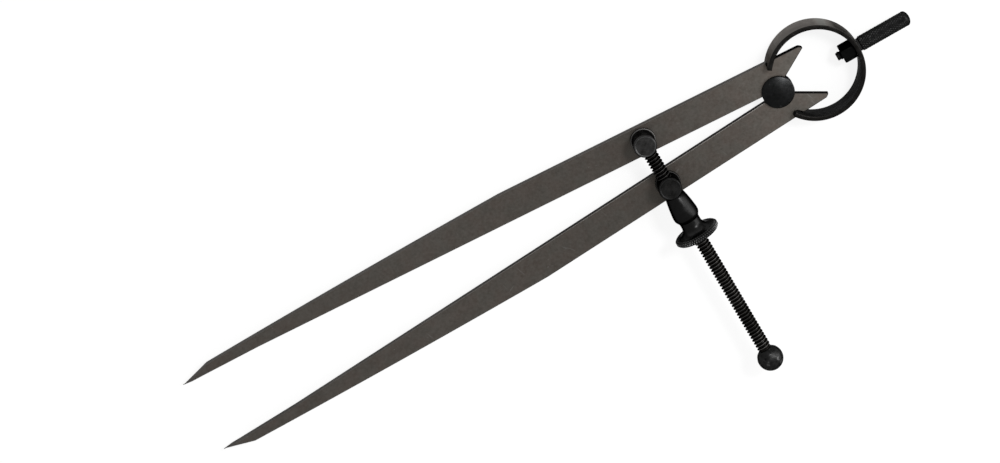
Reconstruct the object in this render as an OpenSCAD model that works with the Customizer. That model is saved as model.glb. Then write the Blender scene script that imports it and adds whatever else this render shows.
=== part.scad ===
// Two-point bow-spring divider: two flat tapered legs that rock on a grooved fulcrum,
// a round bow spring hooked into their outer edges, a knurled handle on the bow, and an
// adjusting screw and nut carried by two swivelling studs.
// The fulcrum axis is vertical, +X runs along the bisector of the legs to the handle,
// and the divider lies flat: Z = 0 is the lower edge of the bow spring.

/* [Legs] */
// Fulcrum axis to the point of each leg
point_reach = 203.2; // [160:0.1:260]
// Angle between the legs as set
opening_angle = 6.86; // [4:0.02:10]
// Thickness of the leg plate
leg_t = 2.2; // [1.6:0.1:2.6]
// Width of a leg at the head
bar_w = 9.4; // [8.8:0.1:9.8]
// Width of a leg where the long taper starts
waist_w = 9.3; // [8:0.1:9.4]
// Half of the slit between the closed legs
edge_gap = 0.6; // [0.3:0.1:1]
// Fulcrum axis to the start of the long taper
taper_start = 90; // [70:0.1:110]
// Extra width of the taper halfway, over a straight one
taper_extra_w = 0.33; // [0.1:0.01:1]
// Length of the horn ahead of the fulcrum
horn_len = 12.5; // [10:0.1:14]
// Angle of the horn's inner edge to the leg
horn_angle = 34.4; // [32:0.1:36]
// Blunting of the horn's tip
horn_blunt = 1.3; // [0.5:0.1:2]

/* [Points] */
// Length over which the inner edges close in to the point
point_run = 26; // [15:0.5:40]
// Length of the ground facet at the point
facet_run = 9.6; // [6:0.1:12]
// Width of the leg where the facet starts
facet_w = 3.1; // [2.6:0.1:4]

/* [Fulcrum] */
// Diameter of the fulcrum's core between the legs
core_d = 5.8; // [4.8:0.1:6.4]
// Diameter of the domed cap
cap_d = 10.1; // [9:0.1:11]
// Thickness of the cap at its rim
cap_rim = 0.7; // [0.5:0.1:1.2]
// Height of the cap's dome above the rim
cap_dome = 0.9; // [0.4:0.1:1.4]
// Thickness of the washer behind the legs
back_t = 1.2; // [0.8:0.1:1.6]
// Diameter of the riveted tail that holds the washer
tail_d = 4; // [3:0.1:4.6]

/* [Bow spring] */
// Outer diameter of the bow
bow_d = 30.2; // [29:0.1:33]
// Thickness of the spring strip
strip_t = 1.4; // [1:0.1:1.6]
// Width of the spring strip
strip_w = 8.6; // [7:0.1:10]
// Distance of the notch ahead of the fulcrum axis
notch_ahead = 1; // [0.2:0.1:1.3]
// Depth of the notch in the leg's outer edge
notch_depth = 1.2; // [1.1:0.05:2]
// How far the fork's prongs run on past the notch
prong_len = 0.8; // [0.7:0.1:1.8]

/* [Handle] */
// Diameter over the handle's knurl
grip_d = 4.86; // [4.2:0.02:6]
// Length of the knurled handle with its domed end
grip_len = 17.2; // [12:0.1:24]
// Height of the dome at the handle's end
grip_dome = 1.5; // [0.5:0.1:2]
// Diameter of the plain collar
collar_d = 4.1; // [3.6:0.1:4.2]
// Length of the plain collar
collar_len = 0.4; // [0.3:0.05:2]
// Diameter of the shank through the bow
shank_d = 3; // [2.4:0.1:3.2]
// Hexagon nut across flats
hex_af = 5.5; // [5:0.1:6.5]
// Hexagon nut thickness
hex_t = 4.2; // [2:0.1:4.6]
// Shank left standing past the nut
stub_len = 1.6; // [0.5:0.1:2]

/* [Studs] */
// Fulcrum axis to the studs, along a leg
stud_reach = 43.3; // [38:0.1:52]
// Diameter of a stud
stud_d = 7.2; // [6.8:0.1:7.8]
// Height of a stud above its leg
stud_h = 7.2; // [6.8:0.1:8]
// Diameter of the flange at a stud's foot
foot_d = 7.9; // [7.6:0.1:8.6]
// Thickness of the flange at a stud's foot
foot_t = 0.9; // [0.5:0.1:1]
// Bevel round a stud's top
stud_bevel = 0.7; // [0.3:0.1:0.7]
// Diameter of the pivot that passes through a leg
pivot_d = 3.8; // [3:0.1:4.2]
// Diameter of the washer riveted behind a leg
washer_d = 7; // [6:0.1:8]
// Thickness of that washer
washer_t = 0.8; // [0.5:0.1:1.2]
// Diameter of the riveted head behind the washer
rivet_d = 5; // [4.6:0.1:5.6]

/* [Adjusting screw] */
// Outer diameter of the thread
screw_d = 4.5; // [4:0.1:4.5]
// Height of the screw's axis above the legs
screw_h = 4.1; // [4:0.1:4.3]
// Centre of the fixed stud to the centre of the ball
ball_reach = 80.2; // [76:0.1:100]
// Diameter of the ball
ball_d = 8.2; // [6.8:0.1:8.8]
// Diameter of the screw's plain end in the fixed stud
spigot_d = 3.5; // [2.8:0.1:3.6]

/* [Adjusting nut] */
// Outer diameter of the sleeve where it meets the stud
sleeve_d = 6.3; // [6.2:0.1:6.6]
// Largest diameter of the sleeve
sleeve_max_d = 8.2; // [7.6:0.1:8.6]
// Length of the sleeve
sleeve_len = 8.8; // [7:0.1:10]
// Diameter of the nut's neck
neck_d = 6.5; // [6.3:0.1:6.8]
// Length from the sleeve to the rim of the nut
neck_len = 4.1; // [3.5:0.1:6]
// Diameter over the rim's knurl
rim_d = 14.5; // [12:0.1:16]
// Thickness of the knurled rim
rim_t = 2; // [1:0.1:2.4]
// Width of the slits that part the nut's nose
slit_w = 0.5; // [0.3:0.05:0.8]

/* [Clearances] */
// Radial clearance of parts that turn on each other
turn_fit = 0.05; // [0.02:0.01:0.1]
// Radial clearance of the screw in its stud and nut
screw_fit = 0.1; // [0.05:0.01:0.1]
// Clearance of the spring's fork and strip at a leg
fork_fit = 0.25; // [0.1:0.05:0.3]
// Axial clearance between pieces that slide face to face
face_fit = 0.05; // [0.02:0.01:0.1]

/* [Hidden] */
$fn = 64;

half = opening_angle / 2;
half_t = leg_t / 2;
fix_fit = 0.01;
// How far one form of a piece sinks into the next
sink = 0.1;

// A place on the upper leg, given along the leg and outwards from the fulcrum's line, in the common frame.
function on_leg(along, out) =
    [out * sin(half) - along * cos(half), along * sin(half) + out * cos(half)];

// Leg outline, counted along the leg and outwards
head_out = edge_gap + bar_w;
waist_out = edge_gap + waist_w;
facet_start = point_reach - facet_run;
taper_steps = 14;
point_gap = 0.02;
point_spare = 0.02;
horn_root = 0.2;
horn_tip_out = edge_gap + (horn_len - horn_root) * tan(horn_angle);
function taper_out(u) =
    waist_out + (facet_w - waist_out) * u + 4 * taper_extra_w * u * (1 - u);
leg_outline = concat(
    [[-horn_len, horn_tip_out],
     [-horn_root, edge_gap],
     [point_reach - point_run, edge_gap],
     [point_reach, point_gap]],
    [for (i = [taper_steps : -1 : 0])
        [taper_start + (facet_start - taper_start) * i / taper_steps, taper_out(i / taper_steps)]],
    [[horn_blunt - horn_len, head_out]]);
point_r = norm([facet_w, half_t]) + point_spare;

// The bow's middle line passes through the bottoms of both notches.
bow_r = bow_d / 2;
bow_mid_r = bow_r - strip_t / 2;
notch_out = head_out - notch_depth;
notch_at = on_leg(-notch_ahead, notch_out);
bow_x = notch_at[0] + sqrt(bow_mid_r * bow_mid_r - notch_at[1] * notch_at[1]);
slot_angle = asin(notch_at[1] / bow_mid_r);
end_angle = slot_angle - prong_len / bow_mid_r * 180 / PI;
notch_r = strip_t / 2 + fork_fit;
slot_w = leg_t + 2 * fork_fit;

// Handle, along X from the bow, with the hexagon's corners on the bow's inner face
seat_x = bow_x + bow_r;
nut_x = bow_x + sqrt(pow(bow_r - strip_t, 2) - pow(hex_af / 2, 2)) - fix_fit;
grip_x = seat_x + collar_len;
grip_end = grip_x + grip_len;

// Studs, at the middle of the bar's width
stud_out = edge_gap + bar_w / 2;
stud_at = on_leg(stud_reach, stud_out);
stud_x = stud_at[0];
stud_y = stud_at[1];
screw_z = half_t + screw_h;
stud_flat_cut = 0.3;
stud_flat = stud_d / 2 - stud_flat_cut;
flat_spare = 0.4;
spigot_seat = 2.2;
// How far the screw's seat runs past the stud's middle
spigot_past = 2.4;

// Screw, counted from the fixed stud's centre along -Y
ball_r = ball_d / 2;
ball_flat = sqrt(ball_r * ball_r - pow(screw_d / 2, 2));
tenon_d = 3;
tenon_len = 4.6;

// Nut, counted from its stud's centre along -Y
sleeve_start = stud_flat + face_fit;
sleeve_end = sleeve_start + sleeve_len;
neck_start = sleeve_end + face_fit;
rim_start = neck_start + neck_len;
rim_end = rim_start + rim_t;
nut_bore_r = screw_d / 2 + screw_fit;
nose_wall = 0.25;
nose_r = neck_d / 2 - nose_wall;
nose_cone = 2.5;
nose_tip_r = nut_bore_r + nose_wall;
nose_inset = 0.9;
nose_start = sleeve_start + nose_inset;
slit_stop = 0.6;
rim_bevel = 0.25;

// The drawing is centred over its own outline, with the bow's lower edge at Z = 0.
leg_points = [for (p = leg_outline) on_leg(p[0], p[1])];
low_x = min([for (p = leg_points) p[0]]);
high_y = max([for (p = leg_points) p[1]]);
low_y = stud_y - ball_reach - ball_r;
origin = [(low_x + grip_end) / 2, (low_y + high_y) / 2, -strip_w / 2];

module place() translate(-origin) children();

// Turns a piece drawn up the Z axis so that it points along X, or along -Y.
module along_x() rotate([0, 90, 0]) children();
module along_screw() rotate([90, 0, 0]) children();

module ring(outer_r, inner_r, height) {
    difference() {
        cylinder(r = outer_r, h = height);
        translate([0, 0, -1]) cylinder(r = inner_r, h = height + 2);
    }
}

// The notch follows the strip's curve outwards from a round bottom that the strip's corners bear on.
module notch_outline() {
    seat = sqrt(pow(notch_r - face_fit, 2) - pow(strip_t / 2, 2));
    bottom_angle = slot_angle + seat / bow_mid_r * 180 / PI;
    side_steps = 4;
    side_angle = 3 * notch_depth / bow_mid_r * 180 / PI;
    bottom = [for (a = [0 : 20 : 180]) [bow_mid_r + notch_r * cos(a), notch_r * sin(a)]];
    inner = [for (i = [1 : side_steps])
        (bow_mid_r - notch_r) * [cos(side_angle * i / side_steps), -sin(side_angle * i / side_steps)]];
    outer = [for (i = [side_steps : -1 : 1])
        (bow_mid_r + notch_r) * [cos(side_angle * i / side_steps), -sin(side_angle * i / side_steps)]];
    rotate(half) translate([bow_x, 0]) rotate(180 - bottom_angle)
        polygon(concat(bottom, inner, outer));
}

module leg_plate() {
    difference() {
        linear_extrude(leg_t, center = true) difference() {
            polygon([for (p = leg_outline) [-p[0], p[1]]]);
            notch_outline();
        }
        cylinder(d = core_d + 2 * turn_fit, h = leg_t + 2, center = true);
        translate([-stud_reach, stud_out, 0])
            cylinder(d = pivot_d + 2 * turn_fit, h = leg_t + 2, center = true);
    }
}

// The point is ground to a cone that starts at the facet.
module leg() {
    reach = point_reach + horn_len;
    intersection() {
        leg_plate();
        union() {
            translate([-facet_start, -bar_w, -leg_t]) cube([reach, 3 * bar_w, 2 * leg_t]);
            translate([-facet_start, 0, 0]) rotate([0, -90, 0])
                cylinder(r1 = point_r, r2 = 0.05, h = facet_run);
        }
    }
}

module leg_upper() color("dimgray") place() rotate([0, 0, -half]) leg();

module leg_lower() color("dimgray") place() mirror([0, 1, 0]) rotate([0, 0, -half]) leg();

// Domed cap, core between the legs' half-round seats, and riveted tail.
module fulcrum_stud() color("darkslategray") place() {
    cap_r = cap_d / 2;
    dome_r = (cap_r * cap_r + cap_dome * cap_dome) / (2 * cap_dome);
    cap_z = half_t + face_fit;
    translate([0, 0, cap_z]) intersection() {
        cylinder(r = cap_r, h = cap_rim + cap_dome);
        translate([0, 0, cap_rim + cap_dome - dome_r]) sphere(r = dome_r, $fn = 128);
    }
    translate([0, 0, -cap_z]) cylinder(d = core_d, h = 2 * cap_z + sink);
    translate([0, 0, -cap_z - back_t]) cylinder(d = tail_d, h = back_t + sink);
}

module fulcrum_washer() color("darkslategray") place() {
    bevel = 0.3;
    translate([0, 0, -half_t - face_fit - back_t]) difference() {
        union() {
            cylinder(d1 = cap_d - 2 * bevel, d2 = cap_d, h = bevel);
            translate([0, 0, bevel]) cylinder(d = cap_d, h = back_t - bevel);
        }
        translate([0, 0, -1]) cylinder(r = tail_d / 2 + fix_fit, h = back_t + 2);
    }
}

// Strip bent round to a bow, with a fork at each end that straddles its leg.
module bow_spring() color("slategray") place() translate([bow_x, 0, 0]) difference() {
    rotate([0, 0, end_angle - 180]) rotate_extrude(angle = 360 - 2 * end_angle, $fn = 128)
        translate([bow_r - strip_t, -strip_w / 2]) square([strip_t, strip_w]);
    translate([bow_r / 2, 0, 0]) along_x() cylinder(r = shank_d / 2 + turn_fit, h = bow_r);
    for (side = [0, 1]) mirror([0, side, 0]) rotate([0, 0, 180 - slot_angle])
        translate([bow_r - 2 * strip_t, 0, -slot_w / 2]) cube([3 * strip_t, 3 * prong_len, slot_w]);
}

// Grip with a domed end, plain collar on the bow, and the shank inside it.
module handle() color("darkslategray") place() {
    bevel = 0.45;
    grip_r = grip_d / 2;
    shank_start = nut_x - hex_t - stub_len;
    translate([shank_start, 0, 0]) along_x() cylinder(d = shank_d, h = seat_x - shank_start + sink);
    translate([seat_x, 0, 0]) along_x() cylinder(d = collar_d, h = collar_len + sink);
    translate([grip_x, 0, 0]) along_x() rotate_extrude() polygon(concat(
        [[0, 0],
         [grip_r - bevel, 0],
         [grip_r, bevel]],
        [for (a = [0 : 15 : 90]) [grip_r * cos(a), grip_len - grip_dome * (1 - sin(a))]]));
}

module handle_nut() color("black") place() translate([nut_x - hex_t, 0, 0]) along_x() difference() {
    cylinder(d = hex_af / cos(30), h = hex_t, $fn = 6);
    translate([0, 0, -1]) cylinder(r = shank_d / 2 + fix_fit, h = hex_t + 2);
}

// A stud without its cross hole: flange on the leg, bevelled barrel, pivot and riveted head.
module stud_blank() {
    foot_z = half_t + face_fit;
    barrel_top = half_t + stud_h;
    rivet_z = -half_t - face_fit - washer_t;
    rivet_h = 0.5;
    rivet_bevel = 0.4;
    translate([0, 0, foot_z]) cylinder(d = foot_d, h = foot_t);
    translate([0, 0, foot_z]) cylinder(d = stud_d, h = stud_h - face_fit - stud_bevel);
    translate([0, 0, barrel_top - stud_bevel])
        cylinder(d1 = stud_d, d2 = stud_d - 2 * stud_bevel, h = stud_bevel);
    translate([0, 0, rivet_z]) cylinder(d = pivot_d, h = foot_z - rivet_z + sink);
    translate([0, 0, rivet_z - rivet_h]) cylinder(d1 = rivet_d - 2 * rivet_bevel, d2 = rivet_d, h = rivet_h);
}

module stud_washer() {
    translate([0, 0, -half_t - face_fit - washer_t]) ring(washer_d / 2, pivot_d / 2 + fix_fit, washer_t);
}

module at_screw_stud() place() translate([stud_x, stud_y, 0]) children();
module at_nut_stud() place() translate([stud_x, -stud_y, 0]) children();

// The screw's plain end is seated in this stud.
module screw_stud() color("darkslategray") at_screw_stud() difference() {
    stud_blank();
    translate([0, 0, screw_h + half_t]) along_screw() {
        translate([0, 0, -spigot_past]) cylinder(r = spigot_d / 2 + fix_fit, h = 2 * stud_d);
        translate([0, 0, spigot_seat]) cylinder(r = screw_d / 2 + fix_fit, h = stud_d);
    }
}

// The screw slides through this stud, and the nut's sleeve bears on its flat.
module nut_stud() color("darkslategray") at_nut_stud() difference() {
    stud_blank();
    translate([0, 0, screw_z]) along_screw() {
        translate([0, 0, -stud_d]) cylinder(r = screw_d / 2 + screw_fit, h = 2 * stud_d);
        translate([0, 0, stud_flat]) cylinder(r = sleeve_d / 2 + flat_spare, h = stud_d);
    }
}

module screw_stud_washer() color("black") at_screw_stud() stud_washer();

module nut_stud_washer() color("black") at_nut_stud() stud_washer();

// Thread drawn at its outer diameter, with a plain end in the stud and a tenon in the ball.
module adjusting_screw() color("slategray") at_screw_stud() translate([0, 0, screw_z]) along_screw() {
    thread_end = ball_reach - ball_flat;
    spigot_len = spigot_past - face_fit + spigot_seat;
    translate([0, 0, spigot_seat - spigot_len]) cylinder(d = spigot_d, h = spigot_len + sink);
    translate([0, 0, spigot_seat]) cylinder(d = screw_d, h = thread_end - spigot_seat);
    translate([0, 0, thread_end - sink]) cylinder(d = tenon_d, h = tenon_len + sink);
}

// Ball with a flat where the thread's shoulder meets it.
module screw_ball() color("slategray") at_screw_stud() translate([0, 0, screw_z]) along_screw()
    translate([0, 0, ball_reach]) difference() {
        sphere(r = ball_r, $fn = 96);
        translate([-ball_r, -ball_r, -ball_d - ball_flat]) cube(2 * ball_r);
        translate([0, 0, -ball_d])
            cylinder(r = tenon_d / 2 + fix_fit, h = ball_d - ball_flat + tenon_len + face_fit);
    }

module at_nut() at_nut_stud() translate([0, 0, screw_z]) along_screw() children();

// Coned sleeve that closes on the nut's nose and bears on the stud.
module nut_sleeve() color("slategray") at_nut() {
    widest_share = 0.7;
    shoulder_len = 1.3;
    bulge = 0.5;
    soften = 0.05;
    lip = 0.1;
    widest = sleeve_start + widest_share * sleeve_len;
    cone_end = nose_start + nose_cone;
    gap = turn_fit;
    rotate_extrude() polygon([
        [nose_tip_r + gap, sleeve_start],
        [sleeve_d / 2, sleeve_start],
        [(sleeve_d + sleeve_max_d) / 4, (sleeve_start + widest) / 2 - bulge],
        [sleeve_max_d / 2, widest],
        [sleeve_max_d / 2 - soften, sleeve_end - shoulder_len],
        [neck_d / 2 + lip, sleeve_end],
        [nose_r + gap, sleeve_end],
        [nose_r + gap, cone_end],
        [nose_tip_r + gap, nose_start]]);
}

// Split nose inside the sleeve, neck, concave flare and rim.
module adjusting_nut() color("slategray") at_nut() {
    flare_steps = 8;
    plain_share = 0.35;
    flare_share = 0.86;
    flare_start = neck_start + plain_share * neck_len;
    flare_r = flare_share * rim_d / 2;
    flare_len = rim_start - flare_start;
    nose_end = nose_start + nose_cone;
    difference() {
        rotate_extrude() polygon(concat(
            [[nut_bore_r, nose_start],
             [nose_tip_r, nose_start],
             [nose_r, nose_end],
             [nose_r, neck_start],
             [neck_d / 2, neck_start]],
            [for (i = [0 : flare_steps])
                let (a = 90 * i / flare_steps)
                [neck_d / 2 + (flare_r - neck_d / 2) * (1 - cos(a)), flare_start + flare_len * sin(a)]],
            [[rim_d / 2 - rim_bevel, rim_start],
             [rim_d / 2, rim_start + rim_bevel],
             [rim_d / 2, rim_end - rim_bevel],
             [rim_d / 2 - rim_bevel, rim_end],
             [nut_bore_r, rim_end]]));
        for (turn = [0, 90]) rotate([0, 0, turn])
            translate([-slit_w / 2, -neck_d, nose_start - sink])
                cube([slit_w, 2 * neck_d, sleeve_end - nose_start - slit_stop]);
    }
}

leg_upper();
leg_lower();
fulcrum_stud();
fulcrum_washer();
bow_spring();
handle();
handle_nut();
screw_stud();
screw_stud_washer();
nut_stud();
nut_stud_washer();
adjusting_screw();
screw_ball();
nut_sleeve();
adjusting_nut();
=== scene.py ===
"""Looks of the two-point divider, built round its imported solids."""

import math

import bmesh
import bpy
from mathutils import Matrix, Vector


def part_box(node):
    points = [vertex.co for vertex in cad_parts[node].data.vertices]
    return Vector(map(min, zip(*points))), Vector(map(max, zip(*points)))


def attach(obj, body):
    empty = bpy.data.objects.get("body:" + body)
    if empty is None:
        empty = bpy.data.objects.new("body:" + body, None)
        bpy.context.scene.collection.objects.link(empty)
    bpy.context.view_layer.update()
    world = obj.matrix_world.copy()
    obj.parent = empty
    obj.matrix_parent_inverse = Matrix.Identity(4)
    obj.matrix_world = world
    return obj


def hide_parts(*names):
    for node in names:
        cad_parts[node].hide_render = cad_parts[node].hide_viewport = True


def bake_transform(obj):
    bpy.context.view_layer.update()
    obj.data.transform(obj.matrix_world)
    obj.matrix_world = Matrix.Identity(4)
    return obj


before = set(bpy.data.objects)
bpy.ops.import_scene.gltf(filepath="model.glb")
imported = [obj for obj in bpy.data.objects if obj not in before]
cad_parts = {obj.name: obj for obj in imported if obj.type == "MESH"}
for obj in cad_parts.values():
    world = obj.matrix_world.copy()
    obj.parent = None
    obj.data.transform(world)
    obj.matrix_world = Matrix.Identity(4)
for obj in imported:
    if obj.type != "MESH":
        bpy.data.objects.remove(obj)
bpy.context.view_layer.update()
MM = 0.001
TURN = 2 * math.pi

# Places, in millimetres from the fulcrum axis at the middle of the leg plates
cap_low, cap_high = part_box("fulcrum_stud")
bow_low, bow_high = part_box("bow_spring")
PIVOT = Vector(((cap_low.x + cap_high.x) / 2, (cap_low.y + cap_high.y) / 2,
                (bow_low.z + bow_high.z) / 2))


def box_mm(node):
    """A node's lowest and highest corners in millimetres from the fulcrum."""
    low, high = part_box(node)
    return (low - PIVOT) / MM, (high - PIVOT) / MM


def middle_mm(node):
    """The middle of a node's box in millimetres from the fulcrum."""
    low, high = box_mm(node)
    return (low + high) / 2


# Fits: face to face, the screw in its bores, the bow's fork on a leg, and fixed pieces
FACE_FIT = 0.05
SCREW_FIT = 0.1
FORK_FIT = 0.25
FIX_FIT = 0.01

# Legs, counted along each one to its point and outwards from the line between them, which
# lies HALF off each leg
HALF = math.radians(3.43)
LEG_T = 2.2
HALF_T = LEG_T / 2
EDGE_GAP = 0.6
POINT_GAP = 0.02
BAR_W = 9.4
WAIST_W = 9.3
TAPER_START = 90
TAPER_EXTRA = 0.33
FACET_W = 3.1
FACET_RUN = 9.6
POINT_REACH = 203.2
POINT_RUN = 26
HORN_LEN = 12.5
HORN_SLOPE = math.tan(math.radians(34.4))
HORN_BLUNT = 1.3
HORN_ROOT = 0.2
SEAT_R = 2.95
HEAD_OUT = EDGE_GAP + BAR_W
WAIST_OUT = EDGE_GAP + WAIST_W
FACET_START = POINT_REACH - FACET_RUN
EDGE_BEVEL = 0.24

# Bow spring
BOW_R = 15.1
STRIP_T = 1.4
STRIP_W = 8.6
STRIP_SOFT = 0.22
BOW_X = box_mm("bow_spring")[1].x - BOW_R
BOW_MID_R = BOW_R - STRIP_T / 2
SLOT_W = LEG_T + 2 * FORK_FIT
NOTCH_AHEAD = 1.0
NOTCH_DEPTH = 1.2
NOTCH_OUT = HEAD_OUT - NOTCH_DEPTH
NOTCH_R = STRIP_T / 2 + FORK_FIT
PRONG_LEN = 0.8
# Painted highlight on the outer face in steps along X: each is the step's end and its edge tint
BOW_HIGHLIGHT_STEPS = [(3 + step, 0.36 + 0.09 * step) for step in range(4)]
BOW_HIGHLIGHT_STEPS += [(19.5, 0.73), (20.1, 0.83), (20.7, 0.93), (22.6, 1.0)]
BOW_HIGHLIGHT_STEPS += [(23.0 + 0.4 * step, 0.85 - 0.13 * step) for step in range(6)]
notch_y = NOTCH_OUT * math.cos(HALF) - NOTCH_AHEAD * math.sin(HALF)
SLOT_ANGLE = math.asin(notch_y / BOW_MID_R)
BOTTOM_ANGLE = SLOT_ANGLE + math.sqrt((NOTCH_R - FACE_FIT) ** 2 - (STRIP_T / 2) ** 2) / BOW_MID_R

# Studs, screw and nut
STUD_R = 3.6
STUD_TOP = HALF_T + 7.2
screw_stud_at = middle_mm("screw_stud")
nut_stud_at = middle_mm("nut_stud")
SCREW_Z = HALF_T + 4.1
SCREW_R = 2.25
PITCH = 1.1
BALL_REACH = 80.2
BALL_R = 4.1


# Mesh helpers


def make(name, points, faces, body, materials, crease=32.0, replaced=(), pick=None):
    """A piece from points in millimetres from the fulcrum, riding on a body.

    pick gives a face's material, one of the piece's, from its middle and its normal."""
    mesh = bpy.data.meshes.new(name)
    mesh.from_pydata([Vector(p) for p in points], [], faces)
    bm = bmesh.new()
    bm.from_mesh(mesh)
    bmesh.ops.remove_doubles(bm, verts=bm.verts, dist=1e-5)
    bmesh.ops.recalc_face_normals(bm, faces=bm.faces)
    return finish_mesh(name, bm, mesh, body, materials, crease, replaced, pick)


def finish_mesh(name, bm, mesh, body, materials, crease, replaced, pick):
    """An object of a bmesh in millimetres from the fulcrum, in its place and with its materials."""
    bm.normal_update()
    if pick:
        for face in bm.faces:
            chosen = pick(face.calc_center_median(), face.normal)
            face.material_index = materials.index(chosen)
    bmesh.ops.transform(bm, matrix=Matrix.Translation(PIVOT) @ Matrix.Scale(MM, 4), verts=bm.verts)
    bm.to_mesh(mesh)
    bm.free()
    mesh.set_sharp_from_angle(angle=math.radians(crease))
    # Faces with many sides are flat ones
    for polygon in mesh.polygons:
        polygon.use_smooth = len(polygon.vertices) <= 8
    obj = bpy.data.objects.new(name, mesh)
    bpy.context.scene.collection.objects.link(obj)
    for material in materials:
        obj.data.materials.append(material)
    if body:
        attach(obj, body)
    if replaced:
        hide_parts(*replaced)
    return obj


def grid_faces(rows, columns):
    """Faces of a grid of points laid out row by row, closed round its columns."""
    faces = []
    for row in range(rows - 1):
        for column in range(columns):
            beside = (column + 1) % columns
            faces.append((row * columns + column, row * columns + beside,
                          (row + 1) * columns + beside, (row + 1) * columns + column))
    return faces


def lathe(profile, segments, place, bumps=None):
    """Points and faces of a profile of (radius, along) turned about an axis and put in place."""
    points = []
    for index, (radius, along) in enumerate(profile):
        for step in range(segments):
            angle = TURN * step / segments
            r = radius + (bumps(index, step) if bumps else 0)
            points.append(place @ Vector((r * math.cos(angle), r * math.sin(angle), along)))
    return points, grid_faces(len(profile), segments)


def joined(*parts):
    """Several lots of points and faces as one."""
    points, faces = [], []
    for more_points, more_faces in parts:
        start = len(points)
        points += list(more_points)
        faces += [tuple(start + i for i in face) for face in more_faces]
    return points, faces


def along_x(x):
    """Turns a lathed piece from its own Z to the divider's X, from a start on the bisector."""
    return Matrix.Translation((x, 0, 0)) @ Matrix.Rotation(math.pi / 2, 4, "Y")


def along_screw(y):
    """Turns a lathed piece from its own Z to -Y, on the screw's axis."""
    return Matrix.Translation((screw_stud_at.x, y, SCREW_Z)) @ Matrix.Rotation(math.pi / 2, 4, "X")


def arc(radius, first, last, steps, centre=(0, 0)):
    """Places round part of a circle, from one angle to another."""
    angles = [first + (last - first) * step / steps for step in range(steps + 1)]
    return [(centre[0] + radius * math.cos(a), centre[1] + radius * math.sin(a)) for a in angles]


def helix(start, end, major, minor, place, segments=48, steps=10):
    """A screw thread as a strip that climbs one pitch each turn, tapered off and closed at its ends.

    root_flat and flank are shares of half a pitch, and the strip starts spare turns early."""
    root_flat = 0.2
    flank = 0.66
    spare = 1.5
    turns = int((end - start) / PITCH + 2 * spare)
    rows = turns * steps
    points = []
    for row in range(rows):
        height = max(0.0, min(1.0, (wave((row % steps) / steps) - root_flat) / flank))
        for step in range(segments):
            along = start + PITCH * (row / steps - spare + step / segments)
            fade = max(0.0, min(1.0, (along - start) / PITCH, (end - along) / PITCH))
            radius = minor + (major - minor) * height * fade
            angle = TURN * step / segments
            along = max(start, min(end, along))
            points.append(place @ Vector((radius * math.cos(angle), radius * math.sin(angle), along)))
    faces = []
    for row in range(rows - 1):
        for step in range(segments):
            here = row * segments + step
            beside = here + 1
            if step == segments - 1:
                # A turn's last column meets the first one of the next turn
                beside = (row + steps) * segments
            if beside + segments < len(points):
                faces.append((here, beside, beside + segments, here + segments))
    return joined((points, faces), lathe([(0, start), (minor, start)], segments, place),
                  lathe([(minor, end), (0, end)], segments, place))


def wave(x):
    """A triangle wave between 0 and 1, with 1 at whole numbers."""
    return abs((x % 1.0) - 0.5) * 2


# Materials


def node_at(tree, kind, **inputs):
    """A shader node with values for its inputs, whose names have _ for each space."""
    made = tree.nodes.new(kind)
    for name, value in inputs.items():
        made.inputs[name.replace("_", " ")].default_value = value
    return made


def ramp(tree, source, stops):
    """A colour ramp over a value."""
    made = tree.nodes.new("ShaderNodeValToRGB")
    while len(made.color_ramp.elements) < len(stops):
        made.color_ramp.elements.new(0.5)
    for element, (position, colour) in zip(made.color_ramp.elements, stops):
        element.position = position
        element.color = (*colour, 1)
    tree.links.new(source, made.inputs["Fac"])
    return made.outputs["Color"]


def spread(tree, source, low, high, to_low, to_high):
    """Maps a value from one range to another."""
    made = node_at(tree, "ShaderNodeMapRange", From_Min=low, From_Max=high,
                   To_Min=to_low, To_Max=to_high)
    tree.links.new(source, made.inputs["Value"])
    return made.outputs["Result"]


def noise(tree, where, scale, detail=4.0, stretch=(1, 1, 1), turn=0.0):
    """Noise over the piece's own coordinates, drawn out along a direction."""
    mapping = tree.nodes.new("ShaderNodeMapping")
    mapping.vector_type = "TEXTURE"
    mapping.inputs["Scale"].default_value = stretch
    mapping.inputs["Rotation"].default_value = (0, 0, turn)
    tree.links.new(where, mapping.inputs["Vector"])
    made = node_at(tree, "ShaderNodeTexNoise", Scale=scale, Detail=detail, Roughness=0.6)
    tree.links.new(mapping.outputs["Vector"], made.inputs["Vector"])
    return made.outputs["Fac"]


def mixed(tree, factor, first, second, kind="MIX"):
    """Mixes two colours, given as sockets or values."""
    made = tree.nodes.new("ShaderNodeMix")
    made.data_type = "RGBA"
    made.blend_type = kind
    # The node has a set of sockets for each kind of data, and these are the colours' ones
    factor_in, first_in, second_in = (made.inputs[i] for i in (0, 6, 7))
    if isinstance(factor, bpy.types.NodeSocket):
        tree.links.new(factor, factor_in)
    else:
        factor_in.default_value = factor
    for socket, value in ((first_in, first), (second_in, second)):
        if isinstance(value, bpy.types.NodeSocket):
            tree.links.new(value, socket)
        else:
            socket.default_value = (*value, 1)
    return made.outputs[2]


def from_axis(tree, where, centre, keep):
    """Distance from an axis through a centre, over the directions to keep."""
    offset = node_at(tree, "ShaderNodeVectorMath")
    offset.operation = "SUBTRACT"
    offset.inputs[1].default_value = centre
    tree.links.new(where, offset.inputs[0])
    flat = node_at(tree, "ShaderNodeVectorMath")
    flat.operation = "MULTIPLY"
    flat.inputs[1].default_value = keep
    tree.links.new(offset.outputs[0], flat.inputs[0])
    length = node_at(tree, "ShaderNodeVectorMath")
    length.operation = "LENGTH"
    tree.links.new(flat.outputs[0], length.inputs[0])
    return length.outputs["Value"]


def grey(level, warm=0.0):
    """A grey, a little warmer or cooler than neutral."""
    return (level * (1 + warm), level, level * (1 - warm))


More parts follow.
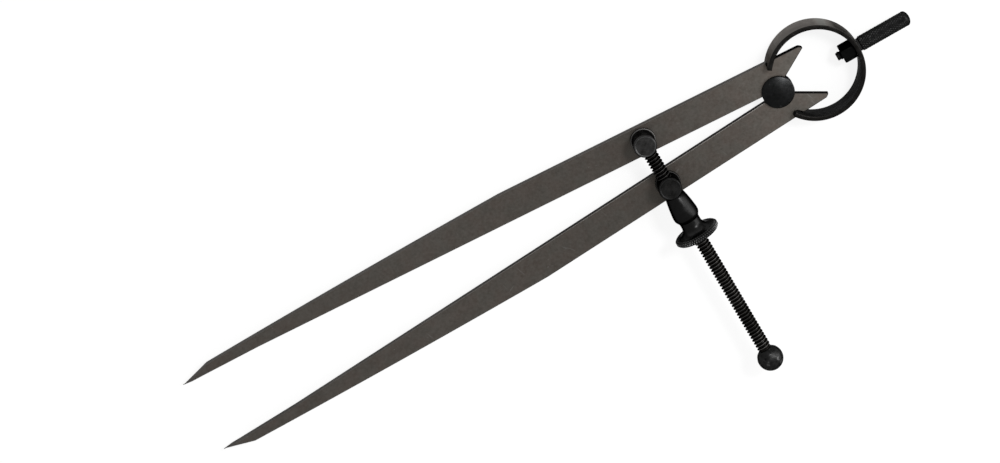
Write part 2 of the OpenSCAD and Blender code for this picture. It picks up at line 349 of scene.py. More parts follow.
def steel(name, dark, light, spot, rough, cloud_scale=90, grain_scale=900, spots=0.72, scratch=0.0,
          bump=0.25, edge=(0.25, 0.25, 0.25), crest=None, fade=None, patches=0.0):
    """Oxidised steel: cloudy colour, fine grain, rubbed spots and scratches, uneven gloss.

    edge is the tint seen at a low angle, and patches is the share of warm and cool tones. crest is
    (centre, kept directions, low and high radius in mm, colour) for the outermost ridges made
    brighter, partly rubbed wear and partly a painted highlight. fade is an axis and a list of
    (mm from the fulcrum, brightness) along it, for painted light and shade along the piece."""
    material = bpy.data.materials.new(name)
    material.use_nodes = True
    tree = material.node_tree
    shader = tree.nodes["Principled BSDF"]
    shader.inputs["Metallic"].default_value = 1.0
    shader.inputs["Specular Tint"].default_value = (*edge, 1)
    where = tree.nodes.new("ShaderNodeTexCoord").outputs["Object"]
    clouds = noise(tree, where, cloud_scale, 5)
    fine = noise(tree, where, grain_scale, 6)
    specks = noise(tree, where, 0.7 * grain_scale, 2)
    colour = ramp(tree, clouds, [(0.32, dark), (0.68, light)])
    if patches:
        tone = ramp(tree, noise(tree, where, 170, 2),
                    [(0.38, (1.0, 0.91, 0.86)), (0.62, (0.95, 0.94, 0.90))])
        colour = mixed(tree, patches, colour, mixed(tree, 1.0, colour, tone, "MULTIPLY"))
    grainy = spread(tree, fine, 0.30, 0.75, 0.0, 0.5)
    colour = mixed(tree, grainy, colour, tuple(1.3 * c for c in light))
    rubbed = spread(tree, specks, spots, spots + 0.06, 0.0, 0.8)
    colour = mixed(tree, rubbed, colour, spot)
    if scratch:
        for turn, scale in ((0.5, 700), (-0.9, 900), (1.9, 800)):
            lines = noise(tree, where, scale, 2, (9, 1, 1), turn)
            colour = mixed(tree, spread(tree, lines, 0.72, 0.76, 0.0, scratch), colour, spot)
    # Ridges brightened: partly rubbed wear, partly a painted highlight
    if crest:
        centre, keep, low, high, bright = crest
        radius = from_axis(tree, where, PIVOT + Vector(centre) * MM, keep)
        wear_and_highlight = spread(tree, radius, low * MM, high * MM, 0.0, 1.0)
        patchy = mixed(tree, spread(tree, clouds, 0.35, 0.6, 0.25, 1.0), (0, 0, 0), bright)
        colour = mixed(tree, wear_and_highlight, colour, mixed(tree, 1.0, patchy, colour, "ADD"))
    # Painted light and shade, ramped along one axis
    if fade:
        split = tree.nodes.new("ShaderNodeSeparateXYZ")
        tree.links.new(where, split.inputs[0])
        axis, levels = fade
        start, end = levels[0][0], levels[-1][0]
        zero = PIVOT.x if axis == "X" else PIVOT.y
        along = spread(tree, split.outputs[axis], zero + start * MM, zero + end * MM, 0.0, 1.0)
        stops = [((place - start) / (end - start), grey(level)) for place, level in levels]
        colour = mixed(tree, 1.0, colour, ramp(tree, along, stops), "MULTIPLY")
    tree.links.new(colour, shader.inputs["Base Color"])
    gloss = spread(tree, fine, 0.3, 0.7, rough - 0.06, rough + 0.08)
    tree.links.new(gloss, shader.inputs["Roughness"])
    relief = node_at(tree, "ShaderNodeBump", Strength=bump, Distance=0.00006)
    tree.links.new(fine, relief.inputs["Height"])
    tree.links.new(relief.outputs["Normal"], shader.inputs["Normal"])
    return material


# The faces' fade is painted light, brighter towards the head
LEG_FACE = steel("leg_face", grey(0.086, 0.09), grey(0.103, 0.08), grey(0.22, 0.03), 0.50, 260, 1200,
                 spots=0.74, scratch=0.33, bump=0.3, edge=grey(1), patches=1.0,
                 fade=("X", [(-220, 0.70), (-110, 0.70), (-70, 0.66), (-40, 0.68), (-18, 0.76),
                             (6, 1.0)]))
# Dimmer copies of the leg steel on the rims are painted shade, darkest on the horns in the bow
LEG_SIDE_SHADE = steel("leg_side_shade", grey(0.060, 0.07), grey(0.082, 0.06), grey(0.11), 0.50,
                 edge=grey(0.55))
# The inner sides' fade paints them darker still towards the head, painted shade
LEG_INSIDE_SHADE = steel("leg_inside_shade", grey(0.044, 0.07), grey(0.080, 0.06), grey(0.11), 0.50,
                   edge=grey(0.5), fade=("X", [(-200, 1.0), (-130, 0.95), (-80, 0.32), (0, 0.28)]))
HORN_SIDE_SHADE = steel("horn_side_shade", grey(0.006, 0.05), grey(0.014, 0.05), grey(0.03), 0.5)
BLACK = steel("black_oxide", grey(0.008), grey(0.012), grey(0.03), 0.28)
# The cap's fade is a painted highlight, brighter towards +X on its right half
CAP_BLACK = steel("cap_oxide", grey(0.009, -0.02), grey(0.020, -0.02), grey(0.045), 0.34, 320,
                  spots=0.68, bump=0.6, fade=("X", [(-5, 0.62), (-1, 0.72), (2, 1.0)]))
BALL_BLACK = steel("ball_oxide", grey(0.005), grey(0.025), grey(0.07), 0.40, 520, 1000,
                   spots=0.60, bump=0.8, edge=grey(0.4))
# Outer copies paint the highlight in steps; their fade paints the outside darker to the forks
BOW_OUTER = [steel("bow_outer_%d" % step, grey(0.050, 0.05), grey(0.085, 0.04), grey(0.14, 0.03), 0.45,
                   200, 520, spots=0.66, bump=0.6, edge=grey(tint, 0.04),
                   fade=("X", [(-2.5, 0.55), (3, 0.7), (12, 1.0)]))
             for step, (_, tint) in enumerate(BOW_HIGHLIGHT_STEPS)]
BOW_RIM = steel("bow_rim", grey(0.005, 0.07), grey(0.013, 0.05), grey(0.04, 0.03), 0.40, 420)
# The inside is a darker copy of the bow's steel: painted shade
BOW_INNER_SHADE = steel("bow_inner_shade", grey(0.036), grey(0.052), grey(0.07), 0.45, 160, bump=0.15)
NUT_BLACK = steel("hexagon_oxide", grey(0.003), grey(0.005), grey(0.012), 0.4)
COLLAR_BLACK = steel("collar_oxide", grey(0.018), grey(0.035), grey(0.06), 0.36)
screw_axis = (screw_stud_at.x, 0, SCREW_Z)
# Thread fade: painted shade, darker between the studs; crests partly rubbed, partly painted highlight
THREAD_STEEL = steel("thread_oxide", grey(0.005, 0.10), grey(0.010, 0.08), grey(0.06), 0.42, spots=0.66,
                     crest=(screw_axis, (1, 0, 1), 2.17, 2.25, grey(0.16, 0.03)),
                     fade=("Y", [(-75, 1.0), (-25, 0.9), (-8, 0.5), (8, 0.4)]))
# The flare is painted lighter out towards the rim, painted light
NECK_BLACK = steel("neck_oxide", grey(0.008), grey(0.012), grey(0.04), 0.30,
                   crest=(screw_axis, (1, 0, 1), 3.5, 6.4, grey(0.055)))
# The rim's edge is brighter: rubbed knurl tips and a painted highlight
RIM_BLACK = steel("rim_oxide", grey(0.008), grey(0.014), grey(0.04), 0.45, edge=grey(0.1),
                  crest=(screw_axis, (1, 0, 1), 6.9, 7.2, grey(0.15)))
GRIP_BLACK = steel("grip_oxide", grey(0.008), grey(0.014), grey(0.05), 0.46, 500, 1000, spots=0.63,
                   crest=((0, 0, 0), (0, 1, 1), 2.2, 2.42, grey(0.005)))


def stud_steels(name, level):
    """A stud's turned top and barrel, its flange, and a painted highlight ring round its top.

    The flange's paler upper side is partly bare steel and partly a painted highlight; level scales
    all three, and below 1 it is painted shade.
    """
    dark, low, high, wear_and_highlight = (share * level ** 2 for share in (0.025, 0.045, 0.075, 0.085))
    rubbed = grey(0.12 * level)
    top = steel(name + "_top", grey(0.010 * level, 0.015), grey(0.040 * level, 0.015),
                grey(0.08 * level), 0.34, 380, 1500)
    flange = steel(name + "_flange", grey(low, 0.03), grey(high, 0.03), rubbed, 0.50, 260, 1500)
    ring = steel(name + "_ring_highlight", grey(dark), grey(wear_and_highlight), rubbed, 0.38, 420, 1500)
    return (top, flange, ring)


# Legs, each a plate with softened rims and a point ground to a cone


def in_leg(side, along, out, z):
    """A place given along a leg and outwards, in millimetres from the fulcrum."""
    x = out * math.sin(HALF) - along * math.cos(HALF)
    y = along * math.sin(HALF) + out * math.cos(HALF)
    return (x, side * y, z)


def inner_edge(along):
    """How far out a leg's inner edge lies: the two close in to the point."""
    closing = max(0.0, (along - POINT_REACH + POINT_RUN) / POINT_RUN)
    return EDGE_GAP + (POINT_GAP - EDGE_GAP) * closing


def seat_arc():
    """The half-round seat on the fulcrum's core, from the points' side to the horn's."""
    first = math.asin(EDGE_GAP / SEAT_R)
    # The horn's inner edge meets the seat's circle where a quadratic is zero
    a = 1 + HORN_SLOPE ** 2
    b = 2 * (HORN_ROOT + EDGE_GAP * HORN_SLOPE)
    c = HORN_ROOT ** 2 + EDGE_GAP ** 2 - SEAT_R ** 2
    ahead = (math.sqrt(b * b - 4 * a * c) - b) / (2 * a)
    last = math.atan2(EDGE_GAP + ahead * HORN_SLOPE, -HORN_ROOT - ahead)
    return arc(SEAT_R, first, last, 16)


def notch_points():
    """The notch that the bow's strip hooks into, from the horn's side to the points' side.

    Its flanks follow the strip's curve from just under the leg's edge to a round bottom."""
    centre = (BOW_X * math.cos(HALF), BOW_X * math.sin(HALF))
    bottom = math.pi - BOTTOM_ANGLE + HALF
    middle = (centre[0] + BOW_MID_R * math.cos(bottom), centre[1] + BOW_MID_R * math.sin(bottom))
    line = HEAD_OUT - 0.01
    flanks = []
    for radius in (BOW_MID_R - NOTCH_R, BOW_MID_R + NOTCH_R):
        top = math.pi - math.asin((line - centre[1]) / radius)
        flanks.append(arc(radius, top, bottom, 4, centre)[:-1])
    horn_flank, point_flank = flanks
    rounding = arc(NOTCH_R, bottom + math.pi, bottom, 8, middle)
    return [(-ahead, out) for ahead, out in horn_flank + rounding + point_flank[::-1]]


def taper_edge():
    """The outer edge of the long taper, a little fuller than a straight one."""
    steps = 24
    made = []
    for step in range(steps + 1):
        u = step / steps
        out = WAIST_OUT + (FACET_W - WAIST_OUT) * u + 4 * TAPER_EXTRA * u * (1 - u)
        made.append((TAPER_START + (FACET_START - TAPER_START) * u, out))
    return made


def point_section(along):
    """Half section of the ground point: (out, height) from the inner edge to the outer one."""
    tip_r = 0.05
    least_w = 0.16
    least_t = 0.06
    left = max(0.0, POINT_REACH - along) / FACET_RUN
    cone = (math.hypot(FACET_W, HALF_T) + 0.02) * left + tip_r * (1 - left)
    inner = inner_edge(along)
    outer = max(inner + least_w, FACET_W * left)
    made = []
    for share in (0, 0.06, 0.2, 0.35, 0.5, 0.62, 0.72, 0.82, 0.9, 0.96, 1):
        out = inner + (outer - inner) * share
        height = min(HALF_T, math.sqrt(max(0.004, cone * cone - out * out)))
        bevel = max(0.0, EDGE_BEVEL - min(out - inner, outer - out)) * min(1.0, 1.5 * left)
        made.append((out, max(least_t, height - bevel)))
    return made


def leg_mesh(side):
    """A leg's plate up to the ground facet, as a bmesh with softened rims, and its point."""
    horn_tip = EDGE_GAP + (HORN_LEN - HORN_ROOT) * HORN_SLOPE
    outline = [(FACET_START, inner_edge(FACET_START)),
               (POINT_REACH - POINT_RUN, EDGE_GAP),
               *seat_arc(),
               (-HORN_LEN, horn_tip),
               (-HORN_LEN + 0.3, horn_tip + 0.45),
               (-HORN_LEN + HORN_BLUNT - 0.35, HEAD_OUT - 0.1),
               (-HORN_LEN + HORN_BLUNT, HEAD_OUT),
               *notch_points(),
               *taper_edge()]
    bm = bmesh.new()
    rings = []
    for z in (-HALF_T, HALF_T):
        rings.append([bm.verts.new(in_leg(side, along, out, z)) for along, out in outline])
    bm.faces.new(rings[0])
    bm.faces.new(rings[1])
    rims = []
    for i in range(len(outline) - 1):
        face = bm.faces.new((rings[0][i], rings[0][i + 1], rings[1][i + 1], rings[1][i]))
        rims += [edge for edge in face.edges if abs(edge.verts[0].co.z - edge.verts[1].co.z) < HALF_T]
    bmesh.ops.recalc_face_normals(bm, faces=bm.faces)
    bmesh.ops.bevel(bm, geom=rims, offset=EDGE_BEVEL, segments=2, profile=0.5, affect="EDGES")
    bmesh.ops.holes_fill(bm, edges=[edge for edge in bm.edges if edge.is_boundary], sides=0)
    # The ground point's sections, a little closer together towards the tip
    steps = 14
    stations = [FACET_START + FACET_RUN * (i / steps) ** 0.9 for i in range(steps + 1)]
    points = []
    for along in stations:
        half = point_section(along)
        loop = half + [(out, -height) for out, height in reversed(half)]
        points += [in_leg(side, along, out, z) for out, z in loop]
    size = len(points) // len(stations)
    tip = [bm.verts.new(p) for p in points]
    faces = [bm.faces.new([tip[i] for i in face]) for face in grid_faces(len(stations), size)]
    faces.append(bm.faces.new(tip[-size:]))
    faces.append(bm.faces.new(tip[:size]))
    bmesh.ops.recalc_face_normals(bm, faces=faces)
    return bm


def leg_pick(middle, normal):
    """Painted shade: darkest on the sides of the horns, within the bow, and dark on the legs' inner
    sides.
    """
    if abs(normal.z) > 0.97:
        return LEG_FACE
    if middle.x > -1.5:
        return HORN_SIDE_SHADE
    upright = abs(normal.z) < 0.1
    return LEG_INSIDE_SHADE if upright and normal.y * middle.y < 0 else LEG_SIDE_SHADE


leg_steels = (LEG_FACE, LEG_SIDE_SHADE, LEG_INSIDE_SHADE, HORN_SIDE_SHADE)
for side, leg, node in ((1, "upper_leg", "leg_upper"), (-1, "lower_leg", "leg_lower")):
    name = node + "_plate"
    finish_mesh(name, leg_mesh(side), bpy.data.meshes.new(name), leg, leg_steels,
                28, (node,), leg_pick)


# Fulcrum: domed cap, core and riveted tail, and the washer behind

CAP_R = 5.05
CAP_RIM = 0.7
CAP_DOME = 0.9
CORE_R = 2.9
TAIL_R = 2.0
BACK_T = 1.2
dome_r = (CAP_R ** 2 + CAP_DOME ** 2) / (2 * CAP_DOME)
cap_base = HALF_T + FACE_FIT
back_base = -cap_base - BACK_T
cap_top = cap_base + CAP_RIM + CAP_DOME
cap_profile = [(0, back_base),
               (TAIL_R - 0.5, back_base),
               (TAIL_R - 0.05, back_base + 0.15),
               (TAIL_R, -cap_base),
               (CORE_R, -cap_base),
               (CORE_R, cap_base),
               (CAP_R - 0.12, cap_base),
               (CAP_R, cap_base + 0.12),
               (CAP_R, cap_base + CAP_RIM - 0.1)]
for step in range(15):
    r = (CAP_R - 0.1) * (1 - step / 14)
    cap_profile.append((r, cap_top - dome_r + math.sqrt(dome_r ** 2 - r * r)))
points, faces = lathe(cap_profile, 96, Matrix.Identity(4))
make("fulcrum_cap", points, faces, "head", (CAP_BLACK,), 35, ("fulcrum_stud",))
tail_hole = TAIL_R + FIX_FIT
washer_profile = [(tail_hole, back_base),
                  (CAP_R - 0.4, back_base),
                  (CAP_R - 0.08, back_base + 0.3),
                  (CAP_R, back_base + 0.45),
                  (CAP_R, -cap_base - 0.1),
                  (CAP_R - 0.1, -cap_base),
                  (tail_hole, -cap_base),
                  (tail_hole, back_base)]
points, faces = lathe(washer_profile, 96, Matrix.Identity(4))
make("fulcrum_back_washer", points, faces, "head", (BLACK,), 35, ("fulcrum_washer",))


# Bow spring in two halves, one at each leg


def strip_section(low, high):
    """Outline of the strip, as (across its thickness, height), with softened corners."""
    out = STRIP_T / 2 - STRIP_SOFT
    top = high - STRIP_SOFT
    bottom = low + STRIP_SOFT
    corners = []
    for quarter, centre in enumerate(((out, top), (-out, top), (-out, bottom), (out, bottom))):
        first = quarter * math.pi / 2
        corners += arc(STRIP_SOFT, first, first + math.pi / 2, 3, centre)
    return corners


def swept_strip(first, last, steps, low, high, side):
    """The strip from one angle to another round the bow, measured from the fulcrum's side."""
    section = strip_section(low, high)
    points = []
    for step in range(steps + 1):
        angle = first + (last - first) * step / steps
        for across, z in section:
            r = BOW_MID_R + across
            points.append((BOW_X - r * math.cos(angle), side * r * math.sin(angle), z))
    faces = grid_faces(steps + 1, len(section))
    faces.append(tuple(range(len(section))))
    faces.append(tuple(steps * len(section) + i for i in range(len(section))))
    return points, faces


def bow_pick(middle, normal):
    """Pale outside with a painted highlight that falls off in steps to both ends, dark rims, and a
    darker inside of painted shade.
    """
    if abs(normal.z) > 0.6:
        return BOW_RIM
    outwards = normal.x * (middle.x - BOW_X) + normal.y * middle.y
    if outwards < 3:
        return BOW_INNER_SHADE
    steps_before = sum(middle.x > end for end, _ in BOW_HIGHLIGHT_STEPS)
    return BOW_OUTER[min(len(BOW_OUTER) - 1, steps_before)]


# The prongs of the fork run on past the slot's end, above and below the leg
prong_end = SLOT_ANGLE - PRONG_LEN / BOW_MID_R
strip_top = STRIP_W / 2
for side, leg in ((1, "upper_leg"), (-1, "lower_leg")):
    points, faces = joined(
        swept_strip(math.pi, SLOT_ANGLE, 72, -strip_top, strip_top, side),
        swept_strip(SLOT_ANGLE, prong_end, 4, SLOT_W / 2, strip_top, side),
        swept_strip(SLOT_ANGLE, prong_end, 4, -strip_top, -SLOT_W / 2, side))
    half_bow = make("bow_half_" + leg, points, faces, None, (*BOW_OUTER, BOW_RIM, BOW_INNER_SHADE),
                    replaced=("bow_spring",), pick=bow_pick)
    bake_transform(half_bow)


# Handle: diamond knurl with a domed end, plain collar and threaded shank

GRIP_R = 2.43
GRIP_DOME = 1.5
GRIP_LEN = 17.2
GRIP_BEVEL = 0.45
COLLAR_R = 2.05
COLLAR_LEN = 0.4
SHANK_R = 1.5
SHANK_GROOVE = 0.32
handle_low, handle_high = box_mm("handle")
grip_start = handle_high.x - GRIP_LEN
knurl_len = GRIP_LEN - GRIP_DOME
seat_x = BOW_X + BOW_R
knurl_rows = 130
knurl_columns = 160
knurl_count = 20
grip_profile = [(0, 0)]
for row in range(knurl_rows + 1):
    along = knurl_len * row / knurl_rows
    grip_profile.append((GRIP_R - GRIP_BEVEL + min(GRIP_BEVEL, along), along))
for r, up in arc(1, 0, math.pi / 2, 9)[1:]:
    grip_profile.append((GRIP_R * max(0.0, r), GRIP_LEN - GRIP_DOME * (1 - up)))


def diamond(row, step):
    """Depth of the crossed grooves at a place on the grip, running out on the dome."""
    if row == 0:
        return 0
    depth = 0.2
    pitch = 1.3
    along = grip_profile[row][1]
    turn = knurl_count * step / knurl_columns
    climb = along / pitch
    fade = max(0.0, min(1.0, (knurl_len + 0.5 - along) / 0.6))
    return -depth * fade * (1 - min(wave(turn + climb), wave(turn - climb)))


def handle_pick(middle, normal):
    """The plain collar shines more than the knurl and the shank."""
    return COLLAR_BLACK if seat_x < middle.x < grip_start + 0.3 else GRIP_BLACK


grip = lathe(grip_profile, knurl_columns, along_x(grip_start), diamond)
collar_profile = [(0, 0.1),
                  (COLLAR_R, 0.1),
                  (COLLAR_R, 0.06 - COLLAR_LEN),
                  (COLLAR_R - 0.06, -COLLAR_LEN),
                  (0, -COLLAR_LEN)]
collar = lathe(collar_profile, 48, along_x(grip_start))
shank = helix(handle_low.x, seat_x - STRIP_T, SHANK_R, SHANK_R - SHANK_GROOVE, along_x(0), 32, 6)
points, faces = joined(grip, collar, shank)
make("knurled_handle", points, faces, "head", (GRIP_BLACK, COLLAR_BLACK), 24,
     ("handle",), handle_pick)


# Hexagon nut with chamfered corners and a low round seat towards the bow

HEX_AF = 5.5
HEX_T = 4.2
HEX_SEAT_R = 2.3
HEX_SEAT_T = 0.2
hex_corner = HEX_AF / 2 / math.cos(math.pi / 6)
hex_hole = SHANK_R + 0.02
hex_start = box_mm("handle_nut")[0].x
hex_segments = 96


def hexagon(row, step):
    """Takes a round section to a hexagon's, held within the chamfer's cone."""
    r = hex_profile[row][0]
    if r < hex_corner - 0.5:
        return 0
    angle = (TURN * step / hex_segments) % (math.pi / 3) - math.pi / 6
    flat = HEX_AF / 2 / math.cos(angle)
    return min(flat, r) - r


hex_profile = [(hex_hole, 0),
               (hex_corner - 0.55, 0),
               (hex_corner - 0.4, 0),
               (hex_corner - 0.2, 0.12),
               (hex_corner, 0.3),
               (hex_corner, HEX_T - 0.3),
               (hex_corner - 0.2, HEX_T - 0.12),
               (hex_corner - 0.4, HEX_T),
               (HEX_SEAT_R, HEX_T),
               (HEX_SEAT_R, HEX_T + HEX_SEAT_T),
               (hex_hole, HEX_T + HEX_SEAT_T),
               (hex_hole, 0)]
hex_place = along_x(hex_start) @ Matrix.Rotation(math.pi / 6, 4, "Z")
points, faces = lathe(hex_profile, hex_segments, hex_place, hexagon)
make("hexagon_nut", points, faces, "head", (NUT_BLACK,), 24, ("handle_nut",))


# Studs: flange, barrel with a bevelled and lightly turned top, pivot and riveted head

FOOT_R = 3.95
FOOT_T = 0.9
FOOT_ROUND = 0.3
BEVEL = 0.38
PIVOT_R = 1.9
WASHER_R = 3.5
WASHER_T = 0.8
WASHER_SOFT = 0.1
RIVET_R = 2.5
RIVET_H = 0.5
foot_z = HALF_T + FACE_FIT
foot_top = foot_z + FOOT_T
rivet_z = -foot_z - WASHER_T
rim_r = STUD_R - BEVEL
stud_profile = [(0, rivet_z - RIVET_H),
                (1.3, rivet_z - RIVET_H + 0.04),
                (2.1, rivet_z - RIVET_H + 0.18),
                (RIVET_R, rivet_z),
                (PIVOT_R, rivet_z),
                (PIVOT_R, foot_z),
                (FOOT_R - 0.1, foot_z),
                (FOOT_R, foot_z + 0.1),
                *arc(FOOT_ROUND, 0, math.pi / 2, 4, (FOOT_R - FOOT_ROUND, foot_top - FOOT_ROUND)),
                (STUD_R, foot_top),
                (STUD_R, STUD_TOP - BEVEL - 0.1),
                (STUD_R - 0.04, STUD_TOP - BEVEL + 0.04),
                (rim_r + 0.06, STUD_TOP - 0.05),
                (rim_r, STUD_TOP),
                (rim_r - 0.22, STUD_TOP),
                (rim_r - 0.36, STUD_TOP - 0.12),
                (2.2, STUD_TOP - 0.16),
                (1.4, STUD_TOP - 0.11),
                (0.7, STUD_TOP - 0.08),
                (0, STUD_TOP - 0.07)]
pivot_hole = PIVOT_R + FIX_FIT
stud_washer_profile = [(pivot_hole, rivet_z),
                       (WASHER_R - WASHER_SOFT, rivet_z),
                       (WASHER_R, rivet_z + WASHER_SOFT),
                       (WASHER_R, -foot_z - WASHER_SOFT),
                       (WASHER_R - WASHER_SOFT, -foot_z),
                       (pivot_hole, -foot_z),
                       (pivot_hole, rivet_z)]


def cut(piece, *cutters):
    """Cuts closed meshes, given as points and faces from the fulcrum, out of a piece."""
    for points, faces in cutters:
        mesh = bpy.data.meshes.new("cutter")
        mesh.from_pydata([PIVOT + Vector(p) * MM for p in points], [], faces)
        tool = bpy.data.objects.new("cutter", mesh)
        bpy.context.scene.collection.objects.link(tool)
        bm = bmesh.new()
        bm.from_mesh(mesh)
        bmesh.ops.recalc_face_normals(bm, faces=bm.faces)
        bm.to_mesh(mesh)
        bm.free()
        change = piece.modifiers.new("bore", "BOOLEAN")
        change.operation = "DIFFERENCE"
        change.solver = "EXACT"
        change.object = tool
        cut_piece = piece.evaluated_get(bpy.context.evaluated_depsgraph_get())
        shape = bpy.data.meshes.new_from_object(cut_piece)
        piece.modifiers.remove(change)
        piece.data = shape
        bpy.data.objects.remove(tool)


def rod(radius, start, end, place):
    """A closed round rod for cutting."""
    segments = 64
    points, faces = lathe([(radius, start), (radius, end)], segments, place)
    return points, faces + [tuple(range(segments)), tuple(range(segments, 2 * segments))]


def stud_pick(at, steels):
    """How the stud at a place picks the flange's paler upper side and the painted highlight ring round
    its top.
    """
    top, flange, ring = steels

    def pick(middle, normal):
        if middle.z < foot_top:
            return flange if normal.z > 0.35 else top
        inset = rim_r - math.hypot(middle.x - at.x, middle.y - at.y)
        return ring if 0 < inset < 0.35 else top
    return pick


# The lower stud has the screw's bore and a flat for the sleeve
STUD_FLAT = 3.3
FLAT_R = 3.55
stud_crease = 30
# The nut's stud is the same steel at level 0.55, painted shade
for name, at, body, node, level in (("screw_holder", screw_stud_at, "screw_swivel", "screw_stud", 1.0),
                                    ("nut_holder", nut_stud_at, "nut_swivel", "nut_stud", 0.55)):
    place = Matrix.Translation((at.x, at.y, 0))
    steels = stud_steels(name, level)
    points, faces = lathe(stud_profile, 96, place)
    stud = make(name, points, faces, body, steels, stud_crease, (node,),
                stud_pick(at, steels))
    if node == "nut_stud":
        bore = rod(SCREW_R + SCREW_FIT, -5, 5, along_screw(at.y))
        flat = rod(FLAT_R, STUD_FLAT, 6, along_screw(at.y))
        cut(stud, bore, flat)
        stud.data.set_sharp_from_angle(angle=math.radians(stud_crease))
    points, faces = lathe(stud_washer_profile, 64, place)
    make(name + "_washer", points, faces, body, (BLACK,), 35, (node + "_washer",))


# Adjusting screw with its thread, and the ball with the tool's rings round its neck

THREAD_DEPTH = 0.58
THREAD_START = 2.2
SPIGOT_R = 1.74
SPIGOT_REACH = 2.3
screw_place = along_screw(screw_stud_at.y)
ball_flat = math.sqrt(BALL_R ** 2 - SCREW_R ** 2)
ball_seat = BALL_REACH - ball_flat
spigot_profile = [(0, -SPIGOT_REACH),
                  (SPIGOT_R, -SPIGOT_REACH),
                  (SPIGOT_R, SPIGOT_REACH),
                  (0, SPIGOT_REACH)]
spigot = lathe(spigot_profile, 32, screw_place)
thread = helix(THREAD_START, ball_seat + 0.3, SCREW_R, SCREW_R - THREAD_DEPTH, screw_place)
points, faces = joined(spigot, thread)
make("threaded_screw", points, faces, "screw_swivel", (THREAD_STEEL,), 40,
     ("adjusting_screw",))

ball_profile = [(0, ball_seat)]
ball_first = math.asin(SCREW_R / BALL_R)
for step in range(41):
    angle = ball_first + (math.pi - ball_first) * step / 40
    ring = 0.04 * math.cos(13 * angle) * max(0.0, 1.7 - angle)
    r = BALL_R - 0.05 + ring
    ball_profile.append((r * max(0.0, math.sin(angle)), BALL_REACH - r * math.cos(angle)))
points, faces = lathe(ball_profile, 96, screw_place)
make("screw_end_ball", points, faces, "screw_swivel", (BALL_BLACK,), 35,
     ("screw_ball",))


# Coned sleeve and adjusting nut with two rows of knurling on its rim

SLEEVE_START = STUD_FLAT + FACE_FIT
SLEEVE_LEN = 8.8
SLEEVE_R = 3.15
SLEEVE_SWELL = 0.95
SLEEVE_HOLE = 2.7
NOSE_HOLE = 2.98
NECK_LEN = 4.1
NECK_R = 3.25
NUT_HOLE = SCREW_R + SCREW_FIT
RIM_R = 7.25
RIM_T = 2.0
nut_place = along_screw(nut_stud_at.y)
sleeve_end = SLEEVE_START + SLEEVE_LEN
widest = 0.7 * SLEEVE_LEN
sleeve_profile = [(SLEEVE_HOLE, SLEEVE_START),
                  (SLEEVE_R - 0.1, SLEEVE_START),
                  (SLEEVE_R - 0.02, SLEEVE_START + 0.1)]
for step in range(1, 9):
    u = step / 8
    swell = SLEEVE_SWELL * (u + 0.09 * math.sin(math.pi * u))
    sleeve_profile.append((SLEEVE_R + swell, SLEEVE_START + widest * u))
# The shoulder rounds over to the nut's neck
sleeve_profile += [(4.09, sleeve_end - 1.75),
                   (4.03, sleeve_end - 1.3),
                   (3.86, sleeve_end - 0.9),
                   (3.58, sleeve_end - 0.45),
                   (3.42, sleeve_end - 0.14),
                   (3.33, sleeve_end),
                   (NOSE_HOLE, sleeve_end),
                   (NOSE_HOLE, SLEEVE_START + 3.5),
                   (SLEEVE_HOLE, SLEEVE_START + 1),
                   (SLEEVE_HOLE, SLEEVE_START)]
points, faces = lathe(sleeve_profile, 72, nut_place)
make("coned_sleeve", points, faces, "nut", (BLACK,), 40, ("nut_sleeve",))

neck_start = sleeve_end + FACE_FIT
rim_start = neck_start + NECK_LEN
rim_end = rim_start + RIM_T
flare_start = neck_start + 0.35 * NECK_LEN
flare_r = 0.86 * RIM_R
nut_profile = [(NUT_HOLE, neck_start),
               (NECK_R - 0.1, neck_start),
               (NECK_R, neck_start + 0.12)]
for across, up in arc(1, 0, math.pi / 2, 12):
    nut_profile.append((NECK_R + (flare_r - NECK_R) * (1 - across),
                        flare_start + (rim_start - flare_start) * up))
rim_first = len(nut_profile)
rim_steps = 16
for step in range(rim_steps + 1):
    u = step / rim_steps
    nut_profile.append((RIM_R - 0.4 * abs(2 * u - 1) ** 3, rim_start + 0.08 + (RIM_T - 0.16) * u))
nut_profile += [(RIM_R - 0.7, rim_end),
                (RIM_R - 1.2, rim_end - 0.12),
                (3.4, rim_end - 0.12),
                (3.1, rim_end),
                (2.6, rim_end),
                (NUT_HOLE, rim_end - 0.25),
                (NUT_HOLE, neck_start)]
rim_columns = 336
rim_count = 56


def rim_knurl(row, step):
    """Two rows of small pyramids round the rim, cut by crossed grooves."""
    if not rim_first <= row <= rim_first + rim_steps:
        return 0
    depth = 0.45
    u = (row - rim_first) / rim_steps
    turn = rim_count * step / rim_columns
    climb = 1.25 * (u - 0.3)
    return -depth * (1 - min(wave(turn + climb), wave(turn - climb)))


def nut_pick(middle, normal):
    """The knurled rim is brighter than the rest: rubbed wear on its knurl and a painted highlight round
    its edge.
    """
    from_screw = math.hypot(middle.x - screw_stud_at.x, middle.z - SCREW_Z)
    return RIM_BLACK if from_screw > RIM_R - 0.65 else NECK_BLACK


points, faces = lathe(nut_profile, rim_columns, nut_place, rim_knurl)
make("knurled_nut", points, faces, "nut", (NECK_BLACK, RIM_BLACK), 24,
     ("adjusting_nut",), nut_pick)


# Camera, with its place, angle and focal length matched to the photograph

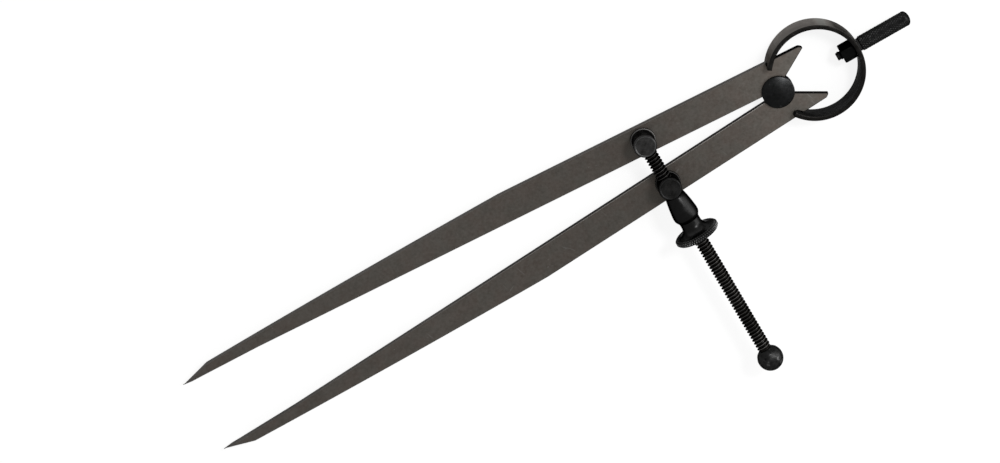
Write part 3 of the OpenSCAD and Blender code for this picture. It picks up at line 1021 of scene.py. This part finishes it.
FOCAL_PX = 4581
IMAGE_W = 1000
target = PIVOT + Vector((-94.8, 4.72, 0)) * MM
toward = Vector((0.08716, 0.29738, 0.95077)).normalized()
distance = 1.4
roll = math.radians(-29.62)
level = toward.cross(Vector((1, 0, 0))).normalized()
across = level.cross(toward)
view_right = across * math.cos(roll) + level * math.sin(roll)
view_up = level * math.cos(roll) - across * math.sin(roll)
camera_data = bpy.data.cameras.new("camera")
camera_data.sensor_width = 36
camera_data.lens = FOCAL_PX / IMAGE_W * camera_data.sensor_width
camera_data.clip_end = 20
camera = bpy.data.objects.new("camera", camera_data)
bpy.context.scene.collection.objects.link(camera)
turned = Matrix((view_right, view_up, toward)).transposed().to_4x4()
camera.matrix_world = Matrix.Translation(target + toward * distance) @ turned
bpy.context.scene.camera = camera


# Floor, light and background


def area_light(name, right, up, back, size, power):
    """A soft lamp aimed at the divider, placed in metres to the camera's right, up and back."""
    data = bpy.data.lights.new(name, "AREA")
    data.shape = "DISK"
    data.size = size
    data.energy = power
    lamp = bpy.data.objects.new(name, data)
    bpy.context.scene.collection.objects.link(lamp)
    middle = PIVOT + Vector((-20, 0, 0)) * MM
    spot = middle + view_right * right + view_up * up + toward * back
    aim = (spot - middle).to_track_quat("Z", "Y").to_matrix().to_4x4()
    lamp.matrix_world = Matrix.Translation(spot) @ aim


area_light("key", 0.50, 0.22, 1.15, 0.3, 11)
area_light("side", 0.95, 0.25, 0.95, 0.8, 6)
area_light("window", 1.2, 0.1, 0.3, 1.0, 9)

floor_mesh = bpy.data.meshes.new("floor")
edge = 3.0
corners = [(-edge, -edge, 0), (edge, -edge, 0), (edge, edge, 0), (-edge, edge, 0)]
floor_mesh.from_pydata(corners, [], [(0, 1, 2, 3)])
floor = bpy.data.objects.new("floor", floor_mesh)
bpy.context.scene.collection.objects.link(floor)

# White paper that glows to the camera and in reflections, and still shows shadows
paper = bpy.data.materials.new("paper")
paper.use_nodes = True
tree = paper.node_tree
matte = tree.nodes["Principled BSDF"]
matte.inputs["Base Color"].default_value = (0.86, 0.86, 0.86, 1)
matte.inputs["Roughness"].default_value = 0.9
matte.inputs["Specular IOR Level"].default_value = 0.1
glow = node_at(tree, "ShaderNodeEmission", Color=(1, 1, 1, 1), Strength=1.0)
path = tree.nodes.new("ShaderNodeLightPath")
seen = node_at(tree, "ShaderNodeMath")
seen.operation = "MAXIMUM"
tree.links.new(path.outputs["Is Camera Ray"], seen.inputs[0])
tree.links.new(path.outputs["Is Glossy Ray"], seen.inputs[1])
share = node_at(tree, "ShaderNodeMath")
share.operation = "MULTIPLY"
share.inputs[1].default_value = 0.85
tree.links.new(seen.outputs[0], share.inputs[0])
blend = tree.nodes.new("ShaderNodeMixShader")
tree.links.new(share.outputs[0], blend.inputs[0])
tree.links.new(matte.outputs[0], blend.inputs[1])
tree.links.new(glow.outputs[0], blend.inputs[2])
tree.links.new(blend.outputs[0], tree.nodes["Material Output"].inputs["Surface"])
floor_mesh.materials.append(paper)

world = bpy.data.worlds.new("studio")
world.use_nodes = True
bpy.context.scene.world = world
world.node_tree.nodes["Background"].inputs["Color"].default_value = (1, 1, 1, 1)
world.node_tree.nodes["Background"].inputs["Strength"].default_value = 0.7
bpy.context.scene.view_settings.view_transform = "Standard"
